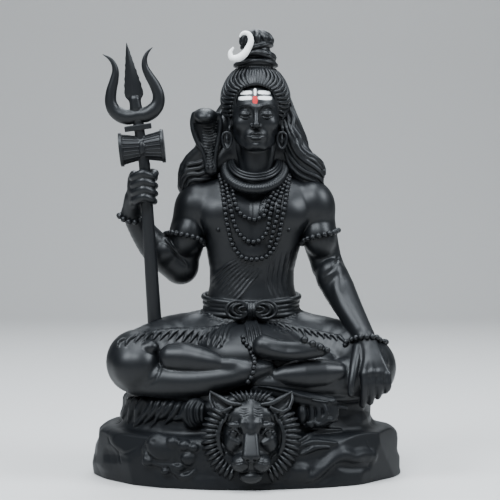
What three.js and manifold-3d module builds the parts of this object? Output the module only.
// A seated four-limbed figure with a trident, cast in black resin on a rock base with a tiger's head.
// Millimetres, +Z up, the front towards -Y. The origin is the centre of the base's underside.
// The figure is modelled as clay: rounded lumps and strands are blended in a block of samples, and
// the surface of that block is then drawn as triangles and thinned where it is nearly flat.
import * as THREE from "three";
import { mergeVertices } from "three/addons/utils/BufferGeometryUtils.js";
import { edgeTable, triTable } from "three/addons/objects/MarchingCubes.js";
import Module from "manifold-3d";

const wasm = await Module();
wasm.setup();

// Driving dimensions
const FIGURE_HEIGHT = 172; // from the seat to the top of the hair knot
const BASE_WIDTH = 144;
const BASE_DEPTH = 104;
const PLINTH_HEIGHT = 23; // the low outer ledge
const MOUND_HEIGHT = 16; // from the ledge to the seat
const STAFF_FOOT_RADIUS = 3.4;
const STAFF_TOP_RADIUS = 2.6;
const STAFF_CLEARANCE = 0.3; // between the staff and the hand and lap that hold it
const SOCKET_DEPTH = 5; // how far the staff stands in the lap
const FORK_LENGTH = 57.5; // from the bend of the staff to the middle point
const FORK_TILT = 4.8; // degrees that the fork leans from the staff
const DRUM_LENGTH = 21;
const DRUM_RADIUS = 7.9;
const CELL = 1.2; // spacing of the clay's samples
const TRIANGLES = 8450; // in the casting, once thinned

// Worked out from the driving dimensions
const SEAT = PLINTH_HEIGHT + MOUND_HEIGHT;
const HEIGHT = SEAT + FIGURE_HEIGHT;
const NOMINAL_FIGURE = 172;
const NOMINAL_SEAT = 39;
const FIGURE_SCALE = FIGURE_HEIGHT / NOMINAL_FIGURE;
const SEAT_SCALE = SEAT / NOMINAL_SEAT;
const AIR = 1e3;
const REACH = 4; // how far from a surface its distances are kept

const mix = THREE.MathUtils.lerp;

// A place on the figure. Its numbers are millimetres on a figure 172 mm tall, z from the seat.
const fig = (x, y, z) =>
  new THREE.Vector3(x, y, z).multiplyScalar(FIGURE_SCALE).setZ(SEAT + z * FIGURE_SCALE);

// A place on the base's front. Its numbers are millimetres on a seat 39 mm high.
const low = (x, y, z) => new THREE.Vector3(x * SEAT_SCALE, y - (BASE_DEPTH - 104) / 2, z * SEAT_SCALE);

// Soft minimum: two distances joined over a fillet of about the blend's size
function soften(a, b, blend) {
  const over = blend - Math.abs(a - b);
  return over > 0 ? Math.min(a, b) - (over * over) / (4 * blend) : Math.min(a, b);
}

// A block of clay: distances to the surface on a grid, negative inside
class Clay {
  constructor(box, cell) {
    this.cell = cell;
    this.low = box.min;
    this.count = box.getSize(new THREE.Vector3()).divideScalar(cell).ceil().addScalar(1).toArray();
    this.row = this.count[0];
    this.sheet = this.count[0] * this.count[1];
    this.field = new Float32Array(this.sheet * this.count[2]).fill(AIR);
  }

  // First and last sample of a box along each axis
  range(box) {
    const from = box.min.toArray();
    const to = box.max.toArray();
    const start = this.low.toArray();
    return this.count.map((n, axis) => [
      Math.max(0, Math.floor((from[axis] - start[axis]) / this.cell)),
      Math.min(n - 1, Math.ceil((to[axis] - start[axis]) / this.cell)),
    ]);
  }

  visit(box, act) {
    const [[i0, i1], [j0, j1], [k0, k1]] = this.range(box);
    for (let k = k0; k <= k1; k++)
      for (let j = j0; j <= j1; j++)
        for (let i = i0; i <= i1; i++) {
          const at = i + j * this.row + k * this.sheet;
          act(at, this.low.x + i * this.cell, this.low.y + j * this.cell, this.low.z + k * this.cell);
        }
  }

  // Works several shapes into the clay as one, so that a strand's own links leave no bulge
  work(shapes, blend, combine) {
    const list = [shapes].flat(3);
    const whole = new THREE.Box3();
    list.forEach((s) => whole.union(s.box));
    whole.expandByScalar(blend + REACH);
    const [[i0, i1], [j0, j1], [k0, k1]] = this.range(whole);
    const row = i1 - i0 + 1;
    const sheet = row * (j1 - j0 + 1);
    const scratch = new Float32Array(sheet * (k1 - k0 + 1)).fill(AIR);
    for (const s of list) {
      const near = s.box.clone().expandByScalar(blend + REACH);
      const [[a0, a1], [b0, b1], [c0, c1]] = this.range(near);
      for (let k = c0; k <= c1; k++)
        for (let j = b0; j <= b1; j++)
          for (let i = a0; i <= a1; i++) {
            const at = i - i0 + (j - j0) * row + (k - k0) * sheet;
            const d = s.distance(
              this.low.x + i * this.cell,
              this.low.y + j * this.cell,
              this.low.z + k * this.cell,
            );
            if (d < scratch[at]) scratch[at] = d;
          }
    }
    for (let k = k0; k <= k1; k++)
      for (let j = j0; j <= j1; j++)
        for (let i = i0; i <= i1; i++) {
          const at = i + j * this.row + k * this.sheet;
          const d = scratch[i - i0 + (j - j0) * row + (k - k0) * sheet];
          if (d < AIR) this.field[at] = combine(this.field[at], d, blend);
        }
  }

  add(shapes, blend = 1) {
    this.work(shapes, blend, soften);
  }

  cut(shapes, blend = 0.6) {
    this.work(shapes, blend, (a, b, soft) => -soften(-a, b, soft));
  }

  // Makes the lowest samples air, so that the surface closes there, and fills what no air reaches
  close() {
    const { field, row, sheet } = this;
    field.fill(this.cell / 2, 0, sheet);
    const reached = new Uint8Array(field.length);
    const open = [0];
    reached[0] = 1;
    while (open.length) {
      const at = open.pop();
      for (const next of [at - 1, at + 1, at - row, at + row, at - sheet, at + sheet])
        if (field[next] > 0 && !reached[next]) {
          reached[next] = 1;
          open.push(next);
        }
    }
    for (let at = 0; at < field.length; at++) if (field[at] > 0 && !reached[at]) field[at] = -this.cell / 2;
  }

  // Distance at any place, between the samples
  sample(p) {
    const place = [p.x - this.low.x, p.y - this.low.y, p.z - this.low.z];
    const nearest = (v, axis) => Math.min(this.count[axis] - 2, Math.max(0, Math.floor(v / this.cell)));
    const cellOf = place.map(nearest);
    const [fx, fy, fz] = place.map((v, axis) => v / this.cell - cellOf[axis]);
    const at = cellOf[0] + cellOf[1] * this.row + cellOf[2] * this.sheet;
    const along = (start) => mix(this.field[start], this.field[start + 1], fx);
    const across = (start) => mix(along(start), along(start + this.row), fy);
    return mix(across(at), across(at + this.sheet), fz);
  }

  slope(p) {
    const step = this.cell;
    const d = (x, y, z) => this.sample(new THREE.Vector3(p.x + x, p.y + y, p.z + z));
    return new THREE.Vector3(
      d(step, 0, 0) - d(-step, 0, 0),
      d(0, step, 0) - d(0, -step, 0),
      d(0, 0, step) - d(0, 0, -step),
    ).normalize();
  }

  // What the front view shows at x and z: the first surface met from the front
  front(x, z) {
    const p = new THREE.Vector3(x, this.low.y, z);
    const step = this.cell * 0.7;
    for (let n = 0; n * step < this.count[1] * this.cell; n++, p.y += step) if (this.sample(p) < 0) return p;
    return null;
  }

  // Moves a place that is near the surface to a height of lift above it
  settle(p, lift) {
    const q = p.clone();
    for (let n = 0; n < 6; n++) {
      const gap = THREE.MathUtils.clamp(this.sample(q) - lift, -REACH / 2, REACH / 2);
      q.addScaledVector(this.slope(q), -gap);
    }
    return q;
  }
}

// Shapes: each has a box and a distance

function egg(centre, radii, turn = [0, 0, 0]) {
  const back = new THREE.Matrix4()
    .makeRotationFromEuler(new THREE.Euler(...turn.map(THREE.MathUtils.degToRad), "ZYX"))
    .transpose().elements;
  const [rx, ry, rz] = radii;
  const most = Math.max(rx, ry, rz);
  const box = new THREE.Box3().setFromCenterAndSize(centre, new THREE.Vector3(2, 2, 2).multiplyScalar(most));
  const distance = (px, py, pz) => {
    const x = px - centre.x;
    const y = py - centre.y;
    const z = pz - centre.z;
    const u = (back[0] * x + back[4] * y + back[8] * z) / rx;
    const v = (back[1] * x + back[5] * y + back[9] * z) / ry;
    const w = (back[2] * x + back[6] * y + back[10] * z) / rz;
    const near = Math.sqrt(u * u + v * v + w * w);
    const steep = Math.sqrt((u / rx) ** 2 + (v / ry) ** 2 + (w / rz) ** 2);
    return steep < 1e-6 ? -Math.min(rx, ry, rz) : (near * (near - 1)) / steep;
  };
  return { box, distance };
}

// A straight piece that runs from radius ra at a to rb at b
function cone(a, b, ra, rb) {
  const most = Math.max(ra, rb);
  const box = new THREE.Box3().setFromPoints([a, b]).expandByScalar(most);
  const [dx, dy, dz] = [b.x - a.x, b.y - a.y, b.z - a.z];
  const square = dx * dx + dy * dy + dz * dz || 1;
  const distance = (px, py, pz) => {
    const x = px - a.x;
    const y = py - a.y;
    const z = pz - a.z;
    const t = Math.min(1, Math.max(0, (x * dx + y * dy + z * dz) / square));
    return Math.hypot(x - t * dx, y - t * dy, z - t * dz) - (ra + (rb - ra) * t);
  };
  return { box, distance };
}

const ball = (centre, radius) => cone(centre, centre, radius, radius);

// A chain of cones along a smooth curve. The radii are spread evenly along it.
function limb(points, radii, links = 4 * (points.length - 1)) {
  const places = new THREE.CatmullRomCurve3(points, false, "centripetal").getPoints(links);
  return chain(places, radii);
}

function chain(places, radii) {
  const last = places.length - 1;
  const radiusAt = (n) => {
    const spot = (n / last) * (radii.length - 1);
    const from = Math.min(radii.length - 2, Math.floor(spot));
    return radii.length < 2 ? radii[0] : mix(radii[from], radii[from + 1], spot - from);
  };
  return places.slice(1).map((p, n) => cone(places[n], p, radiusAt(n), radiusAt(n + 1)));
}

// A strand that lies on the clay, lifted by a share of its radius
function laid(clay, points, radii, lift = 0, links = 5 * (points.length - 1)) {
  const places = new THREE.CatmullRomCurve3(points, false, "centripetal").getPoints(links);
  return chain(
    places.map((p) => clay.settle(p, lift)),
    radii,
  );
}

// A strand drawn on what the front view shows. Its points give x and z as for a place on the figure.
function drawn(clay, points, radii, lift = 0, links = 5 * (points.length - 1)) {
  const curve = new THREE.CatmullRomCurve3(points.map(([x, z]) => fig(x, 0, z)), false, "centripetal");
  const places = [];
  for (const p of curve.getPoints(links)) {
    const met = clay.front(p.x, p.z);
    const before = places.at(-1) ?? met ?? p;
    const run = 2.5 * Math.hypot(p.x - before.x, p.z - before.z);
    p.y = met ? THREE.MathUtils.clamp(met.y, before.y - run, before.y + run) : before.y;
    places.push(p);
  }
  return chain(
    places.map((p) => clay.settle(p, lift)),
    radii,
  );
}

// A tall slab with an oval plan, as thick as its height, with rock faces around its side
function oval(centre, halfWidth, halfDepth, halfHeight, round, lean, crag) {
  const size = new THREE.Vector3(halfWidth, halfDepth, halfHeight).multiplyScalar(2.2);
  const box = new THREE.Box3().setFromCenterAndSize(centre, size);
  const power = 2.3;
  const distance = (px, py, pz) => {
    const x = (px - centre.x) / halfWidth;
    const y = (py - centre.y) / halfDepth;
    const rise = (pz - centre.z) / halfHeight;
    const out = (Math.abs(x) ** power + Math.abs(y) ** power) ** (1 / power) - 1 - crag(Math.atan2(y, x), pz);
    const side = (out + lean * rise) * Math.min(halfWidth, halfDepth) + round;
    const top = Math.abs(pz - centre.z) - halfHeight + round;
    return Math.hypot(Math.max(side, 0), Math.max(top, 0)) + Math.min(Math.max(side, top), 0) - round;
  };
  return { box, distance };
}

// Triangles of the clay's surface
function surface(clay) {
  const corners = [[0, 0, 0], [1, 0, 0], [1, 1, 0], [0, 1, 0], [0, 0, 1], [1, 0, 1], [1, 1, 1], [0, 1, 1]];
  const edges = [
    [[0, 1], [1, 2], [3, 2], [0, 3]],
    [[4, 5], [5, 6], [7, 6], [4, 7]],
    [[0, 4], [1, 5], [2, 6], [3, 7]],
  ].flat();
  const axisOf = [0, 1, 0, 1, 0, 1, 0, 1, 2, 2, 2, 2];
  const { field, row, sheet, cell, low: start } = clay;
  const step = corners.map(([x, y, z]) => x + y * row + z * sheet);
  const vertexOn = [0, 1, 2].map(() => new Int32Array(field.length).fill(-1));
  const points = [];
  const faces = [];
  const value = (at) => (Math.abs(field[at]) < 1e-4 ? 1e-4 : field[at]);
  const [nx, ny, nz] = clay.count;
  for (let k = 0; k < nz - 1; k++)
    for (let j = 0; j < ny - 1; j++)
      for (let i = 0; i < nx - 1; i++) {
        const at = i + j * row + k * sheet;
        let kind = 0;
        for (let c = 0; c < 8; c++) if (value(at + step[c]) < 0) kind |= 1 << c;
        if (!edgeTable[kind]) continue;
        const vertex = (edge) => {
          const [a, b] = edges[edge];
          const from = at + step[a];
          const held = vertexOn[axisOf[edge]];
          if (held[from] < 0) {
            const t = THREE.MathUtils.clamp(value(from) / (value(from) - value(at + step[b])), 0.06, 0.94);
            const place = corners[a].map((c, axis) => c + (corners[b][axis] - c) * t);
            held[from] = points.length / 3;
            points.push(
              start.x + (i + place[0]) * cell,
              start.y + (j + place[1]) * cell,
              start.z + (k + place[2]) * cell,
            );
          }
          return held[from];
        };
        for (let n = kind * 16; triTable[n] >= 0; n += 3)
          faces.push(vertex(triTable[n]), vertex(triTable[n + 2]), vertex(triTable[n + 1]));
      }
  return { points, faces };
}

// Joins neighbouring vertices where that changes the form least, in passes that each allow a little more
function thin({ points, faces }, wanted, care) {
  const xyz = Float64Array.from(points);
  const around = Array.from({ length: points.length / 3 }, () => []);
  const error = new Float64Array(around.length * 10);
  const cost = new Float64Array(faces.length);
  const alive = new Uint8Array(faces.length / 3).fill(1);
  const touched = new Int32Array(faces.length / 3).fill(-1);
  const mark = new Int32Array(around.length);
  let tag = 0;

  // Each vertex holds the planes around it and, much lighter, its own first place
  const gather = (t) => {
    const [a, b, c] = [0, 1, 2].map((n) => 3 * faces[3 * t + n]);
    const u = [0, 1, 2].map((n) => xyz[b + n] - xyz[a + n]);
    const v = [0, 1, 2].map((n) => xyz[c + n] - xyz[a + n]);
    const normal = [u[1] * v[2] - u[2] * v[1], u[2] * v[0] - u[0] * v[2], u[0] * v[1] - u[1] * v[0]];
    const area = Math.hypot(...normal) || 1e-9;
    const [x, y, z] = normal.map((n) => n / area);
    const d = -(x * xyz[a] + y * xyz[a + 1] + z * xyz[a + 2]);
    const weight = area * care(xyz[a], xyz[a + 1], xyz[a + 2]);
    const plane = [x * x, x * y, x * z, x * d, y * y, y * z, y * d, z * z, z * d, d * d];
    const hold = 0.001;
    for (const at of [a, b, c]) {
      const [px, py, pz] = [xyz[at], xyz[at + 1], xyz[at + 2]];
      const own = [1, 0, 0, -px, 1, 0, -py, 1, -pz, px * px + py * py + pz * pz];
      for (let n = 0; n < 10; n++) error[(10 * at) / 3 + n] += weight * (plane[n] + hold * own[n]);
      around[at / 3].push(t);
    }
  };
  for (let t = 0; t < alive.length; t++) gather(t);

  // The best place for two joined vertices. What it costs is returned.
  const best = [0, 0, 0];
  const q = new Float64Array(10);
  const meet = (a, b) => {
    for (let n = 0; n < 10; n++) q[n] = error[10 * a + n] + error[10 * b + n];
    const c00 = q[4] * q[7] - q[5] * q[5];
    const c01 = q[2] * q[5] - q[1] * q[7];
    const c02 = q[1] * q[5] - q[2] * q[4];
    const c11 = q[0] * q[7] - q[2] * q[2];
    const c12 = q[1] * q[2] - q[0] * q[5];
    const c22 = q[0] * q[4] - q[1] * q[1];
    const det = q[0] * c00 + q[1] * c01 + q[2] * c02;
    const x = -(c00 * q[3] + c01 * q[6] + c02 * q[8]) / det;
    const y = -(c01 * q[3] + c11 * q[6] + c12 * q[8]) / det;
    const z = -(c02 * q[3] + c12 * q[6] + c22 * q[8]) / det;
    best[0] = x;
    best[1] = y;
    best[2] = z;
    return Math.max(0, q[3] * x + q[6] * y + q[8] * z + q[9]);
  };

  const sharedBy = (a, b) => {
    tag += 2;
    let shared = 0;
    for (const t of around[a]) for (let n = 3 * t; n < 3 * t + 3; n++) mark[faces[n]] = tag;
    mark[a] = mark[b] = 0;
    for (const t of around[b])
      for (let n = 3 * t; n < 3 * t + 3; n++)
        if (mark[faces[n]] === tag) {
          mark[faces[n]] = tag + 1;
          shared++;
        }
    return shared;
  };

  // Whether moving v to the best place keeps each of its triangles facing the same way
  const keepsFacing = (v, other) => {
    for (const t of around[v]) {
      const turn = [0, 1, 2].find((n) => faces[3 * t + n] === v);
      const b = faces[3 * t + ((turn + 1) % 3)];
      const c = faces[3 * t + ((turn + 2) % 3)];
      if (b === other || c === other) continue;
      const ux = xyz[3 * c] - xyz[3 * b];
      const uy = xyz[3 * c + 1] - xyz[3 * b + 1];
      const uz = xyz[3 * c + 2] - xyz[3 * b + 2];
      const area = (x, y, z) => {
        const [vx, vy, vz] = [x - xyz[3 * b], y - xyz[3 * b + 1], z - xyz[3 * b + 2]];
        return [uy * vz - uz * vy, uz * vx - ux * vz, ux * vy - uy * vx];
      };
      const was = area(xyz[3 * v], xyz[3 * v + 1], xyz[3 * v + 2]);
      const now = area(best[0], best[1], best[2]);
      const dot = was[0] * now[0] + was[1] * now[1] + was[2] * now[2];
      const wasSquare = was[0] ** 2 + was[1] ** 2 + was[2] ** 2;
      const nowSquare = now[0] ** 2 + now[1] ** 2 + now[2] ** 2;
      if (dot < 0.3 * Math.sqrt(wasSquare * nowSquare)) return false;
    }
    return true;
  };

  const price = (t) => {
    for (let n = 0; n < 3; n++) cost[3 * t + n] = meet(faces[3 * t + n], faces[3 * t + ((n + 1) % 3)]);
  };
  for (let t = 0; t < alive.length; t++) price(t);

  let left = alive.length;
  for (let pass = 0, limit = 1e-5; left > wanted && pass < 80; pass++, limit *= 1.35)
    for (let t = 0; t < alive.length && left > wanted; t++) {
      if (!alive[t] || touched[t] === pass) continue;
      const n = [0, 1, 2].find((m) => cost[3 * t + m] < limit);
      if (n === undefined) continue;
      const [a, b] = [faces[3 * t + n], faces[3 * t + ((n + 1) % 3)]];
      if (around[a].length < 4 || around[b].length < 4 || sharedBy(a, b) !== 2) continue;
      meet(a, b);
      if (!keepsFacing(a, b) || !keepsFacing(b, a)) continue;
      xyz.set(best, 3 * a);
      for (let m = 0; m < 10; m++) error[10 * a + m] += error[10 * b + m];
      for (const other of around[b]) {
        const corner = [0, 1, 2].map((m) => faces[3 * other + m]);
        if (corner.includes(a)) {
          alive[other] = 0;
          left--;
          for (const v of corner) if (v !== b) around[v] = around[v].filter((each) => each !== other);
        } else {
          faces[3 * other + corner.indexOf(b)] = a;
          around[a].push(other);
        }
      }
      around[b] = [];
      for (const other of around[a]) {
        touched[other] = pass;
        price(other);
      }
    }

  const number = new Map();
  const kept = faces.filter((_, n) => alive[Math.floor(n / 3)]);
  for (const v of kept) if (!number.has(v)) number.set(v, number.size);
  return new wasm.Manifold(
    new wasm.Mesh({
      numProp: 3,
      vertProperties: Float32Array.from(
        [...number.keys()].flatMap((v) => [...xyz.subarray(3 * v, 3 * v + 3)]),
      ),
      triVerts: Uint32Array.from(kept, (v) => number.get(v)),
    }),
  );
}

// Solids for cutting and joining

function solid(geometry) {
  const bare = geometry.index ? geometry.toNonIndexed() : geometry.clone();
  bare.deleteAttribute("normal");
  bare.deleteAttribute("uv");
  const merged = mergeVertices(bare, 1e-4);
  return new wasm.Manifold(
    new wasm.Mesh({
      numProp: 3,
      vertProperties: merged.attributes.position.array,
      triVerts: new Uint32Array(merged.index.array),
    }),
  );
}

function geometryOf(manifold) {
  const mesh = manifold.getMesh();
  const geometry = new THREE.BufferGeometry();
  geometry.setAttribute("position", new THREE.BufferAttribute(mesh.vertProperties, 3));
  geometry.setIndex(new THREE.BufferAttribute(mesh.triVerts, 1));
  geometry.computeVertexNormals();
  return geometry;
}

// The figure

// A place on the base's front face. x and the height z are millimetres on a base 144 mm wide and 39 mm high.
function onBase(x, z, out = 0) {
  const share = z * SEAT_SCALE > PLINTH_HEIGHT ? 0.42 : 0.49;
  const wide = (x * BASE_WIDTH) / 144;
  const y = -BASE_DEPTH * share * Math.sqrt(1 - (wide / (BASE_WIDTH * share)) ** 2);
  return new THREE.Vector3(wide, y - out, z * SEAT_SCALE);
}

function shapeBase(clay) {
  const facet = (turns) => Math.abs(((((turns % 2) + 2) % 2) - 1) * 2) - 1;
  const crag = (angle, z) => {
    const round = angle / Math.PI;
    const broad = 0.016 * facet(4 * round + 0.2 + z / 70);
    const small = 0.012 * facet(9 * round + 0.6 - z / 30);
    return broad + small + 0.008 * facet(z / 9 + 3 * round);
  };
  // the plinth's lower half is under the table and is cut off
  clay.add(oval(new THREE.Vector3(), BASE_WIDTH / 2, BASE_DEPTH / 2, PLINTH_HEIGHT, 5, 0.01, crag), 0);
  const mound = new THREE.Vector3(0.7, 1, PLINTH_HEIGHT);
  clay.add(oval(mound, BASE_WIDTH * 0.42, BASE_DEPTH * 0.425, MOUND_HEIGHT, 4, 0.035, crag), 4);

  const folds = [
    [-54, 40, 27], [-49.5, 39, 25], [-45.5, 39, 28], [-41, 40, 29],
    [-37, 40.5, 30], [-33.5, 39, 31], [-30, 38, 28],
  ];
  clay.add(folds.map(([x, top, end], n) => {
    const path = [onBase(x + 2, top), onBase(x + 1.4, (top + end) / 2), onBase(x - 1.6, end)];
    return laid(clay, path, [1.6, 2.3 - (n % 2) * 0.5, 1], 0.3);
  }), 1);
  const paw = [
    [-38.5, 19, 6.6], [-31, 20.5, 3.8], [-26, 20.5, 3.2],
    [-25.3, 11.5, 2.6], [-33.5, 10, 3.4], [-43, 9, 3.5],
  ];
  clay.add(paw.map(([x, z, r]) => egg(onBase(x, z), [r, r * 0.8, r])), 1.2);

  clay.add(egg(onBase(28, 31.5), [6, 4, 5.5]), 1.2);
  const stripes = [9, 12.6, 16.2, 19.8].map((r) => {
    const arc = [-65, -25, 15, 55].map(THREE.MathUtils.degToRad);
    const places = arc.map((a) => onBase(26 + r * Math.cos(a), 31 + r * Math.sin(a) * 0.5));
    return laid(clay, places, [1, 1.8, 1.1], 0.2);
  });
  clay.add(stripes, 0.6);
  const ledges = [
    [onBase(26, 7), onBase(35, 7.5), onBase(41.5, 14), onBase(50, 15), onBase(60, 12)],
    [onBase(26, 20), onBase(37, 22), onBase(50, 20)],
    [onBase(-66, 12), onBase(-58, 17), onBase(-49, 13)],
  ];
  clay.add(ledges.map((ledge) => laid(clay, ledge, [1.4, 2.4, 1.4], 0)), 2);
}

function shapeTiger(clay) {
  const middle = 2.3;
  const front = (x, y, z) => low(middle + x, y, z);
  clay.add(egg(front(0, -45.5, 20), [22, 7.5, 19.5]), 2);
  const ruff = [];
  for (let n = 0; n < 12; n++)
    for (const side of [-1, 1]) {
      const angle = mix(0.42, -1.2, n / 11);
      const at = (r, y) => front(side * Math.cos(angle) * r, y, 20.5 + Math.sin(angle) * r);
      ruff.push(limb([at(11.5, -53.2), at(17.5, -52.8), at(22.5, -49)], [1.2, 1.7, 0.9], 4));
    }
  clay.add(ruff, 0.5);
  clay.add(egg(front(0, -46, 23.5), [12.8, 11.5, 15.5]), 1.2);
  clay.add(egg(front(0, -50, 31), [9.5, 7, 7]), 2);
  clay.add(egg(front(0, -53, 12), [8, 7.5, 6]), 2);
  clay.add(egg(front(0, -55.5, 22.5), [3.6, 4.6, 9.5], [-14, 0, 0]), 0.8);
  clay.add(egg(front(0, -61, 15.6), [3.9, 2.4, 2.3]), 0.5);
  [-1, 1].forEach((side) => {
    clay.add(egg(front(side * 4.3, -57.4, 11.6), [5.2, 5, 4.6]), 0.6);
    clay.add(egg(front(side * 9.8, -50.5, 17.5), [4.4, 5, 7]), 1.4);
    clay.cut(egg(front(side * 7.3, -58.6, 25.6), [3.7, 3, 2.8]), 0.8);
    clay.add(egg(front(side * 7.3, -55.2, 25.6), [2.5, 1.9, 2]), 0.3);
    const browLine = [
      front(side * 3.6, -56.8, 28.6),
      front(side * 7.6, -56, 29.8),
      front(side * 11, -52.6, 28.4),
    ];
    clay.add(limb(browLine, [1.7, 1.6, 1.2]), 0.8);
    const ear = [front(side * 8.5, -47, 34), front(side * 13, -46.5, 37.2), front(side * 18, -45.5, 42.3)];
    clay.add(limb(ear, [4.2, 3.3, 0.6]), 0.8);
    clay.cut(limb([front(side * 11, -51.3, 35.3), front(side * 16.5, -48.6, 40.2)], [2.3, 0.8]), 0.4);
  });
  clay.add(egg(front(0, -55.5, 5.6), [5.2, 4.4, 3.6]), 0.8);
  clay.cut(limb([front(-5.5, -60.5, 7.4), front(0, -62.5, 9.6), front(5.5, -60.5, 7.4)], [0.8, 0.8]), 0.4);
}

function shapeLegs(clay) {
  // the hide that the figure sits on
  clay.add(egg(fig(6, -20, 0), [52, 23, 6.5]), 3);
  clay.add(egg(fig(3, 10, 20), [33, 24, 20]), 2);
  const thighs = [
    limb([fig(-10, 10, 20), fig(-33, -6, 19.4), fig(-49, -19, 16)], [18, 16.6, 14]),
    limb([fig(16, 10, 20), fig(40, -5, 18), fig(55.5, -18, 14)], [18, 16.4, 13.6]),
  ];
  thighs.forEach((thigh) => clay.add(thigh, 6));
  clay.add(egg(fig(3, -17, 17), [26, 20, 15]), 5);
  clay.add(egg(fig(20, -24, 15), [22, 13, 9]), 3);
  clay.add(egg(fig(-50.6, -23, 15.4), [13.6, 13.5, 14.6]), 2);
  clay.add(egg(fig(-50, -29, 13.4), [11.6, 9.6, 11.6]), 0.8);
  clay.add(limb([fig(-50, -27, 9.5), fig(-24, -36, 8), fig(-4, -40, 11)], [9.5, 7.6, 5]), 1.2);
  clay.add(egg(fig(-24.4, -38, 18.2), [15, 7.6, 7], [0, 6, -8]), 0.6);
  clay.add(egg(fig(-43, -31.5, 23.2), [5, 3.8, 3.2], [0, -10, 0]), 0.8);
  clay.add(egg(fig(57, -21.5, 12.6), [13, 14, 13.4]), 2);
  clay.add(limb([fig(57, -24, 10), fig(34, -35, 8), fig(6, -41, 7)], [11.5, 8.4, 5.5]), 1.2);
  clay.add(egg(fig(29.4, -38.5, 12.2), [15, 8, 6.8], [0, 3, 6]), 0.6);
  clay.add(limb([fig(-12, -41, 15.4), fig(-3, -41.5, 15.6), fig(5, -41, 18.4)], [5.4, 4.6, 5.6]), 2);
  const farFoot = [fig(7, -40, 23.5), fig(15, -40.5, 23.6), fig(25, -39.5, 23.4), fig(33.5, -38.5, 21.6)];
  clay.add(limb(farFoot, [6, 5, 4.4, 3]), 1.6);
  const toes = [[26.6, 27, 1.7], [29.7, 25.4, 1.5], [32.4, 24, 1.4], [34.8, 23, 1.3], [37, 22.2, 1.2]];
  toes.forEach(([x, z, r]) => clay.add(limb([fig(x - 1.6, -39.8, z - 2), fig(x, -41.4, z)], [r, r], 1), 0.3));
}

function shapeBody(clay) {
  clay.add(egg(fig(3.3, 8, 40), [22, 17, 16]), 4);
  clay.add(limb([fig(3.3, 7, 40), fig(3.3, 7, 54), fig(3.6, 6, 66)], [16, 15.4, 16.5]), 3);
  clay.add(limb([fig(-4, 6, 44), fig(-4.4, 6, 58), fig(-5, 5, 74)], [13, 12.6, 14.5]), 3);
  clay.add(limb([fig(10.6, 6, 44), fig(11, 6, 58), fig(13, 5, 74)], [13, 12.6, 14.5]), 3);
  clay.add(egg(fig(4, 5, 79), [25.6, 15, 17]), 3);
  clay.add(egg(fig(-8, -2.6, 82), [13.6, 8.6, 11.5]), 1.2);
  clay.add(egg(fig(16.5, -2.6, 82), [13.6, 8.6, 11.5]), 1.2);
  clay.add(limb([fig(-22, 4, 88), fig(4, 6, 96), fig(31, 4, 88)], [9.5, 9, 9.5]), 4);
  clay.add(limb([fig(4.5, 5, 92), fig(4.8, 3, 118)], [9, 7.8]), 4);
  clay.add(limb([fig(-14, -5, 97.5), fig(-1, -6, 96)], [2.2, 1.6]), 3);
  clay.add(limb([fig(23, -5, 97.5), fig(10, -6, 96)], [2.2, 1.6]), 3);
  clay.cut(drawn(clay, [[4.4, 90], [4.2, 78], [3.6, 64], [3.2, 50]], [0.5, 0.8, 0.7, 0.7], 0, 10), 2);
}

function shapeArms(clay) {
  clay.add(egg(fig(-23.5, 4, 86.5), [10.4, 10.4, 12.5], [0, 14, 0]), 2);
  clay.add(limb([fig(-25, 4, 82), fig(-28.5, 5, 70), fig(-31, 7, 60)], [9.4, 9.3, 8.6]), 1.2);
  const raisedForearm = [fig(-31, 6, 58.5), fig(-42, 3, 67), fig(-49, -1, 76), fig(-54, -5, 84)];
  clay.add(limb(raisedForearm, [8.8, 8, 6.2, 4.4]), 1.2);
  clay.add(egg(fig(33, 4, 87.5), [10.2, 10.4, 12.5], [0, -12, 0]), 2);
  clay.add(limb([fig(33.8, 4, 83), fig(36.2, 5, 71), fig(39.5, 6, 59)], [9, 8.5, 7.9]), 1.2);
  const straightForearm = [fig(39.5, 5, 59), fig(44.5, -2, 48), fig(50, -12, 37), fig(55, -22, 27.5)];
  clay.add(limb(straightForearm, [7.9, 7.9, 6.4, 5]), 1.2);
}

// A place beside the staff's lower part, at the height z
function besideStaff(x, y, z) {
  const { foot, bend } = staffLine();
  const at = fig(0, 0, z).z;
  const spot = foot.clone().lerp(bend, (at - foot.z) / (bend.z - foot.z));
  return spot.add(new THREE.Vector3(x, y, 0).multiplyScalar(FIGURE_SCALE));
}

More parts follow.
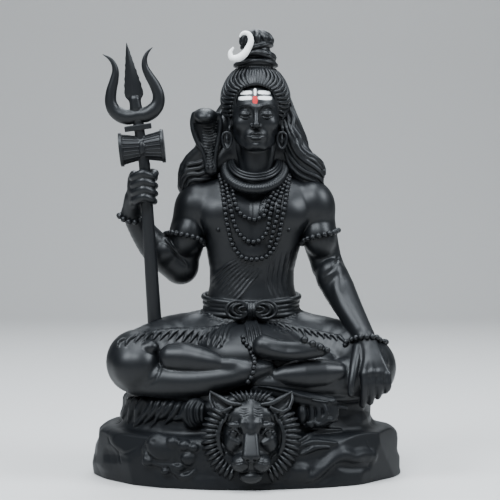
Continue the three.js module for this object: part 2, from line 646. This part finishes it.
function shapeHands(clay) {
  clay.add(egg(besideStaff(-5.2, 3.8, 94.5), [4.4, 5.2, 9.5], [0, -6, 0]), 1.5);
  clay.add(limb([fig(-54, -5, 84), besideStaff(-6, 3.5, 91)], [4.6, 5]), 1.5);
  for (let finger = 0; finger < 4; finger++) {
    const z = 102.4 - finger * 3.9;
    const path = [
      besideStaff(-6.6, 2, z - 1.4),
      besideStaff(-5.4, -3.8, z - 1),
      besideStaff(-0.4, -5.8, z - 0.2),
      besideStaff(3.8, -4, z + 0.4),
      besideStaff(4.2, 1.6, z),
    ];
    clay.add(limb(path, [2.3, 2.4, 2.1, 2.3, 1.9]), 0.4);
  }
  const thumb = [besideStaff(-3, 4.5, 100), besideStaff(1.5, 5, 103), besideStaff(4.2, 2, 103.4)];
  clay.add(limb(thumb, [2.6, 2.4, 2]), 0.8);
  clay.add(egg(fig(56.6, -30.5, 20.5), [7.4, 5.4, 9.4], [24, 0, 0]), 1.5);
  for (let finger = 0; finger < 4; finger++) {
    const path = [
      fig(51.6 + finger * 3.5, -35.2, 16),
      fig(51.9 + finger * 3.4, -38.4, 7.5),
      fig(52.8 + finger * 2.9, -37.2, -2 + Math.abs(finger - 1.4) * 0.8),
    ];
    clay.add(limb(path, [2.5, 2.2, 1.6]), 0.4);
  }
  clay.add(limb([fig(51, -29, 23.5), fig(48, -36, 15), fig(47.3, -38, 4)], [2.6, 2.3, 1.6]), 0.5);
}

function shapeHead(clay) {
  const middle = 5.2;
  const face = (x, y, z) => fig(middle + x, y, z);
  clay.add(egg(face(0, 0, 131), [12.4, 14, 16.2]), 2);
  clay.add(egg(face(0, -5.5, 121), [8.8, 8, 8.6]), 3);
  clay.add(egg(face(0, -11.4, 115.8), [3.8, 2.8, 2.8]), 1.6);
  [-1, 1].forEach((side) => {
    clay.cut(egg(face(side * 5.5, -14.8, 131.4), [3.9, 2.8, 2.5]), 1.4);
    clay.add(egg(face(side * 5.4, -11.4, 131.2), [3.1, 1.9, 1.8]), 0.4);
    const browLine = [
      face(side * 2.2, -13.2, 134.2),
      face(side * 5.8, -12.9, 135.7),
      face(side * 9.6, -10, 134),
    ];
    clay.add(limb(browLine, [0.9, 0.9, 0.7]), 1);
    clay.add(egg(face(side * 7.4, -8.6, 125.6), [3.4, 3.2, 3.6]), 2);
    clay.add(egg(face(side * 12.8, 1, 129), [1.7, 2.8, 4.6]), 0.8);
    clay.add(egg(face(side * 1.8, -14.6, 125.2), [1.3, 1.3, 1.1]), 0.5);
    const ring = [];
    for (let n = 0; n <= 14; n++) {
      const angle = (n / 14) * 2 * Math.PI;
      ring.push(face(side * (12.8 + 2 * Math.sin(angle)), -4, 119.2 + 3.8 * Math.cos(angle)));
    }
    clay.add(chain(ring, [0.95, 0.95]), 0.3);
  });
  clay.add(limb([face(0, -12.9, 135.5), face(0, -15, 129.5), face(0, -17, 126)], [1.1, 1.3, 1.8]), 0.8);
  clay.add(egg(face(0, -13.8, 121.6), [3.7, 1.7, 1]), 0.5);
  clay.add(egg(face(0, -13.5, 119.6), [3.1, 1.8, 1.1]), 0.5);
}

function shapeHair(clay) {
  const middle = 5.2;
  clay.add(egg(fig(middle, 5, 138), [16.6, 16, 18.4]), 0.8);
  const strands = [];
  const number = 17;
  for (let n = 0; n < number; n++) {
    const turn = mix(-1, 1, n / (number - 1));
    const angle = turn * 1.95;
    const square = turn ** 2;
    const spread = angle * 0.8;
    const rise = 132 + 13.5 * Math.cos(angle * 0.85);
    const hairline = fig(middle + 13.8 * Math.sin(angle), -11 + 8 * square, rise);
    const crest = fig(middle + 15.5 * Math.sin(spread), -7 + 9 * square, 141 + 11 * Math.cos(spread));
    const knot = fig(middle + 10 * Math.sin(angle * 0.7), -1 + 5 * square, 155.5 - 3 * square);
    strands.push(laid(clay, [hairline, crest, knot], [1.5, 1.8, 1.2], 0.3, 8));
  }
  clay.add(strands, 0.4);
  clay.add(limb([fig(-6, 2, 155), fig(5.5, -5, 156.4), fig(17.5, 2, 154.6)], [2, 2.4, 2], 8), 1.2);
  clay.add(egg(fig(5.5, 3, 159), [9, 8.5, 5.5]), 2);
  clay.add(egg(fig(7.5, 2, 163.5), [8.4, 7.5, 4.2], [0, 8, 0]), 0.5);
  clay.add(egg(fig(6.2, 2, 167.8), [6.6, 6, 4.2], [0, -10, 0]), 0.5);
  const crescent = [
    [-5.8, 161.4], [-6.7, 158], [-4.4, 156.3], [-0.2, 158.4],
    [2.3, 162.2], [3.2, 166.3], [0.7, 168.7], [-2.1, 167.3],
  ];
  clay.add(limb(crescent.map(([x, z]) => fig(x, -7, z)), [0.6, 1.5, 1.7, 1.6, 1.5, 1.2, 0.5], 24), 0.2);
  clay.add(limb([fig(0, -1, 162), fig(-1, -6, 160)], [3.5, 2]), 0.5);

  // loose hair beside the neck, first its mass and then the locks drawn over it
  const longSide = [fig(17, 5, 140), fig(22, 5, 129), fig(26, 5, 118), fig(31, 5, 108), fig(34.5, 5, 98)];
  clay.add(limb(longSide, [4, 5, 6, 6.6, 3.6]), 1);
  clay.add(limb([fig(-8, 6, 130), fig(-17, 6, 119), fig(-25, 6, 108), fig(-28, 6, 97)], [4, 5, 6.6, 5]), 1);
  const locks = [
    [[19.5, 138], [23.5, 129], [28.5, 119.5], [35, 110.5], [37, 98]],
    [[20, 132], [22, 124], [26, 115], [32, 106.5], [36, 96.5]],
    [[20.2, 125], [21.5, 118], [24.5, 110.5], [30, 103.5], [34, 97]],
    [[20.4, 117], [21.5, 111], [24.5, 106], [29, 101.5]],
    [[-20.5, 119], [-27, 113], [-31.5, 104], [-31, 94]],
    [[-19, 112.5], [-25, 107.5], [-30, 100.5], [-30.5, 93]],
    [[-13, 106], [-20, 102.5], [-26, 100], [-30, 95]],
  ];
  clay.add(locks.map((lock) => drawn(clay, lock, [1.4, 2.3, 2.4, 1.4], 0.2)), 0.5);

  // the hair down the back
  clay.add(egg(fig(middle, 10, 121), [14.5, 9, 26]), 3);
  clay.add(egg(fig(middle, 12, 97), [21, 8.4, 19]), 3);
  const back = [];
  for (let n = 0; n < 11; n++) {
    const x = mix(-1, 1, n / 10);
    const wave = n % 2 ? 1.6 : -1.6;
    const path = [
      fig(middle + x * 9, 9, 152),
      fig(middle + x * 15, 18, 138),
      fig(middle + x * 15.5 + wave, 18, 121),
      fig(middle + x * 19 - wave, 18, 104),
      fig(middle + x * 20 + wave, 19, 89),
      fig(middle + x * 13, 18, 75 + 9 * x ** 2),
    ];
    back.push(laid(clay, path, [1.4, 2.4, 2.7, 2.7, 2.2, 0.8], 0.3, 20));
  }
  clay.add(back, 0.5);
}

function shapeSnake(clay) {
  clay.add(egg(fig(-18.6, 3, 124.5), [7, 3, 10]), 0.8);
  clay.add(limb([fig(-18, 3, 120), fig(-16.5, 1, 112), fig(-15, -2, 105)], [5.5, 4.2, 3]), 0.8);
  const rims = [
    [fig(-24, 0, 131), fig(-25.2, 0.5, 126), fig(-23.6, 0, 119), fig(-19.8, -1, 111), fig(-16.8, -3, 105)],
    [fig(-14, 0, 131), fig(-11.8, 0.5, 126), fig(-12, 0, 119), fig(-13.4, -1, 111), fig(-14, -3, 105)],
  ];
  clay.add(rims.map((rim) => limb(rim, [1.2, 1.6, 1.4, 1.2])), 0.6);
  clay.add(egg(fig(-19.4, -1, 132), [5, 6.4, 3.2], [16, 0, 0]), 0.8);
  const coils = [
    [13.6, 13.5, 101.4, 6.4, 2.5],
    [10.6, 11.5, 105.6, 4.4, 1.5],
  ].map(([wide, deep, z, rise, radius]) => {
    const loop = [];
    for (let n = 0; n <= 24; n++) {
      const angle = (n / 24) * 2 * Math.PI;
      loop.push(fig(4.6 + wide * Math.cos(angle), 2 + deep * Math.sin(angle), z + rise * Math.sin(angle)));
    }
    return chain(loop, [radius, radius]);
  });
  coils.forEach((coil) => clay.add(coil, 0.4));
}

function shapeDress(clay) {
  const shortMala = [
    [-8.5, 101], [-6.1, 92.6], [-3.3, 87.9], [-0.9, 83.7], [4.7, 81.1],
    [10.3, 84.6], [14, 88.8], [17.8, 95.8], [19, 101],
  ];
  const middleMala = [
    [-10.8, 101.9], [-9.8, 94.9], [-6.6, 80.9], [-3.3, 75.2],
    [3.7, 70.6], [10.8, 74.8], [15.9, 86.5], [19, 97],
  ];
  const longMala = [
    [-11.7, 100.5], [-10.3, 90.2], [-8.9, 80.9], [-3.3, 66.8],
    [4.2, 62.6], [11.7, 67.8], [16.8, 80.9], [20.4, 97.2],
  ];
  const malas = [shortMala, middleMala, longMala];
  clay.add(malas.map((mala) => drawn(clay, mala, [1.15, 1.15], 0.7, 26)), 0.2);
  const rings = [
    { at: [-28, 4.6, 73], wide: 9.6, tilt: -15, radius: 1.4 },
    { at: [35.6, 5, 72.6], wide: 8.9, tilt: 16, radius: 1.4 },
    { at: [-53.4, -4.4, 82.2], wide: 4.8, tilt: -24, radius: 1.3 },
    { at: [55.3, -22.5, 26.8], wide: 5.6, tilt: 10, radius: 1.3 },
  ];
  rings.forEach(({ at, wide, tilt, radius }) => {
    const loop = [];
    for (let n = 0; n <= 20; n++) {
      const angle = (n / 20) * 2 * Math.PI;
      const rise = wide * Math.cos(angle) * Math.tan(THREE.MathUtils.degToRad(tilt));
      const [across, deep] = [wide * Math.cos(angle), wide * Math.sin(angle)];
      loop.push(fig(at[0] + across, at[1] + deep, at[2] + rise + 1.5 * Math.sin(angle)));
    }
    clay.add(chain(loop, [radius, radius]), 0.3);
  });

  for (let n = 0; n < 3; n++) {
    const sash = [];
    for (let step = 0; step <= 28; step++) {
      const angle = (step / 28) * 2 * Math.PI;
      const z = 43.8 - n * 3.5 + 1.4 * Math.sin(angle);
      sash.push(fig(3 + (22 + n * 0.6) * Math.cos(angle), 6.5 + (16.4 + n * 0.6) * Math.sin(angle), z));
    }
    clay.add(chain(sash, [2.2, 2.2]), 0.4);
  }

  // folds of the skirt that fan out from the knot, and the locks along its hem
  const hem = [[-61, 21], [-56, 24.5], [-49, 26], [-39, 26.8], [-30, 26.6], [-20.6, 25], [-12, 23], [-4, 21]];
  const hemRight = [[12, 31.6], [20, 31.4], [28, 30.4], [36, 29], [44, 26]];
  const folds = [hem.slice(2), hemRight].flat().map(([x, z]) => {
    const path = [0.12, 0.4, 0.7, 1].map((t) => [mix(3, x, t), mix(35, z, t ** 0.8)]);
    return drawn(clay, path, [0.8, 1.2, 1.5, 1.1], 0.1, 9);
  });
  clay.add(folds, 0.7);
  const locks = [hem, hemRight].map((line, side) => {
    const curve = new THREE.CatmullRomCurve3(line.map(([x, z]) => new THREE.Vector3(x, 0, z)));
    const lean = side ? 2.6 : -2.6;
    return curve
      .getSpacedPoints(side ? 6 : 13)
      .map(({ x, z }) => [[x - lean, z + 2.2], [x, z], [x + lean, z - 2.2]])
      .map((path) => drawn(clay, path, [1.1, 1.6, 0.8], 0.4, 4));
  });
  clay.add(locks, 0.5);
  const ends = [-2.4, 0, 2.6].map((x) => [[3 + x * 0.4, 35], [3.4 + x, 28], [4.4 + x * 1.6, 22]]);
  clay.add(ends.map((path) => drawn(clay, path, [1, 1.5, 1.2], 0.4, 10)), 0.4);
  clay.add(drawn(clay, [[0.8, 25.5], [-0.6, 20], [-1, 15], [-0.4, 8.5]], [1.3, 1.3], 0.6, 14), 0.2);
  [-1, 1].forEach((side) => {
    [[11, 4.4], [7, 2.4]].forEach(([long, high]) => {
      const loop = [
        [side * 1.5, -14, 39 + high * 0.3],
        [side * long * 0.6, -15, 39.2 + high],
        [side * long, -13.6, 39.4],
        [side * long * 0.6, -15, 38.6 - high],
        [side * 1.5, -14, 38.4 - high * 0.3],
      ];
      clay.add(limb(loop.map(([x, y, z]) => fig(3 + x, y, z)), [1, 1.4, 1]), 0.3);
    });
  });
  clay.add(egg(fig(3, -13.6, 39), [2.6, 3, 4.2]), 0.4);
}

function largest(manifold) {
  return manifold.decompose().sort((a, b) => b.volume() - a.volume())[0];
}

// A round bar that tapers from one end of a line to the other
function bar(from, to, fromRadius, toRadius, sides = 16) {
  const along = to.clone().sub(from);
  const geometry = new THREE.CylinderGeometry(toRadius, fromRadius, along.length(), sides);
  const up = new THREE.Vector3(0, 1, 0);
  geometry.applyQuaternion(new THREE.Quaternion().setFromUnitVectors(up, along.normalize()));
  const middle = from.clone().lerp(to, 0.5);
  return solid(geometry.translate(middle.x, middle.y, middle.z));
}

// The staff stands in the lap, leans to the raised hand, and bends there
function staffLine() {
  const lap = fig(-42.6, -8.5, 32.8);
  const bend = fig(-46.8, -15, 106.4);
  const foot = lap.clone().sub(bend.clone().sub(lap).setLength(SOCKET_DEPTH));
  return { foot, bend };
}

function makeFigure() {
  const margin = 9;
  const figureReach = 76 * FIGURE_SCALE;
  const halfWidth = Math.max(BASE_WIDTH / 2, figureReach);
  const reach = new THREE.Vector3(halfWidth + margin, BASE_DEPTH / 2 + 12 + margin, 0);
  const box = new THREE.Box3(
    new THREE.Vector3(-reach.x, -reach.y, -PLINTH_HEIGHT / 2),
    new THREE.Vector3(reach.x, reach.y, HEIGHT + margin),
  );
  const clay = new Clay(box, CELL);
  shapeBase(clay);
  shapeTiger(clay);
  shapeLegs(clay);
  shapeBody(clay);
  shapeArms(clay);
  shapeHead(clay);
  shapeHair(clay);
  shapeSnake(clay);
  shapeHands(clay);
  shapeDress(clay);
  const headFrom = fig(0, 0, 108).z;
  const care = (x, y, z) => (z > headFrom ? 3 : 1) * (y > 10 ? 0.6 : 1);
  clay.close();
  const casting = thin(surface(clay), TRIANGLES, care);
  const under = 4 * Math.max(BASE_WIDTH, BASE_DEPTH);
  const table = solid(new THREE.BoxGeometry(under, under, under).translate(0, 0, -under / 2));
  const { foot, bend } = staffLine();
  const above = bend.clone().sub(foot).setLength(HEIGHT).add(foot);
  const radiusAt = (spot) => mix(STAFF_FOOT_RADIUS, STAFF_TOP_RADIUS, spot) + STAFF_CLEARANCE;
  const spot = HEIGHT / bend.distanceTo(foot);
  const hole = bar(foot, above, radiusAt(0), Math.max(1, radiusAt(spot)));
  return largest(casting.subtract(table).subtract(hole));
}

// A tube of oval section along a curve. Each entry gives a place and a radius.
function horn(entries, flat) {
  const curve = new THREE.CatmullRomCurve3(entries.map(([x, z]) => new THREE.Vector3(x, 0, z)));
  const rings = 12;
  const sides = 8;
  const points = [];
  const faces = [];
  for (let ring = 0; ring <= rings; ring++) {
    const t = ring / rings;
    const p = curve.getPoint(t);
    const tangent = curve.getTangent(t);
    const across = new THREE.Vector3(tangent.z, 0, -tangent.x);
    const spot = t * (entries.length - 1);
    const from = Math.min(entries.length - 2, Math.floor(spot));
    const radius = mix(entries[from][2], entries[from + 1][2], spot - from);
    for (let side = 0; side < sides; side++) {
      const angle = (side / sides) * 2 * Math.PI;
      const place = p.clone().addScaledVector(across, radius * Math.cos(angle));
      place.y = radius * flat * Math.sin(angle);
      points.push(...place.toArray());
    }
  }
  for (let ring = 0; ring < rings; ring++)
    for (let side = 0; side < sides; side++) {
      const a = ring * sides + side;
      const b = ring * sides + ((side + 1) % sides);
      faces.push(a, b, a + sides, b, b + sides, a + sides);
    }
  for (let side = 1; side < sides - 1; side++) {
    const end = rings * sides;
    faces.push(0, side + 1, side, end, end + side, end + side + 1);
  }
  const geometry = new THREE.BufferGeometry().setIndex(faces);
  geometry.setAttribute("position", new THREE.Float32BufferAttribute(points, 3));
  return solid(geometry);
}

// The fork and the drum, upright, with the bend of the staff at the origin
function makeFork() {
  const scale = FORK_LENGTH / 57.5;
  const root = 23 * scale;
  const prong = [
    [0, 23.2, 3.6], [5, 23.6, 3.6], [9.6, 26.4, 3.1], [11.3, 31.2, 2.6], [9.7, 37, 2.3],
    [7.6, 42, 1.9], [6.8, 46.4, 1.4], [7.9, 50, 0.9], [10.9, 53.6, 0.35],
  ];
  const right = horn(prong.map((entry) => entry.map((v) => v * scale)), 0.8);
  const left = right.mirror([1, 0, 0]);
  const blade = [[0, 20], [2.4, 23], [2.8, 30.5], [4.7, 33], [0, 57.5]].map(
    ([r, z]) => new THREE.Vector2(r * scale, z * scale),
  );
  const spear = solid(new THREE.LatheGeometry(blade, 4).rotateX(Math.PI / 2).scale(1, 0.55, 1));
  const collar = solid(new THREE.BoxGeometry(12 * scale, 6, 2.6).translate(-0.4, 0, 17.9 * scale));
  const top = new THREE.Vector3(0, 0, root);
  const stem = bar(new THREE.Vector3(), top, STAFF_TOP_RADIUS, STAFF_TOP_RADIUS * 0.9);

  const half = DRUM_LENGTH / 2;
  const rim = 1.3;
  const profile = [
    [0, -half], [DRUM_RADIUS, -half], [DRUM_RADIUS, rim - half], [DRUM_RADIUS - 0.7, rim - half],
    [DRUM_RADIUS * 0.68, -1], [DRUM_RADIUS * 0.68, 1],
    [DRUM_RADIUS - 0.7, half - rim], [DRUM_RADIUS, half - rim], [DRUM_RADIUS, half], [0, half],
  ].map(([r, z]) => new THREE.Vector2(r, z));
  const drumAxis = THREE.MathUtils.degToRad(-87);
  const drumShape = new THREE.LatheGeometry(profile, 16).rotateZ(drumAxis).rotateX(Math.PI / 2);
  const drum = solid(drumShape.scale(1, 0.72, 1));
  const held = drum.translate([0, 0, DRUM_RADIUS + 0.6]);
  return wasm.Manifold.union([right, left, spear, collar, stem, held]);
}

function makeTrident() {
  const { foot, bend } = staffLine();
  const along = bend.clone().sub(foot).normalize();
  const lean = THREE.MathUtils.degToRad(-FORK_TILT);
  const tilted = along.clone().applyAxisAngle(new THREE.Vector3(0, 1, 0), lean);
  const turn = new THREE.Quaternion().setFromUnitVectors(new THREE.Vector3(0, 0, 1), tilted);
  const matrix = new THREE.Matrix4().compose(bend, turn, new THREE.Vector3(1, 1, 1));
  const staff = bar(foot, bend, STAFF_FOOT_RADIUS, STAFF_TOP_RADIUS);
  return staff.add(makeFork().transform(matrix.elements));
}

const resin = new THREE.MeshStandardMaterial({ color: 0x101113, roughness: 0.45 });
const group = new THREE.Group();
for (const [name, make] of [["figure", makeFigure], ["trident", makeTrident]]) {
  const mesh = new THREE.Mesh(geometryOf(make()), resin);
  mesh.name = name;
  group.add(mesh);
}

export default group;
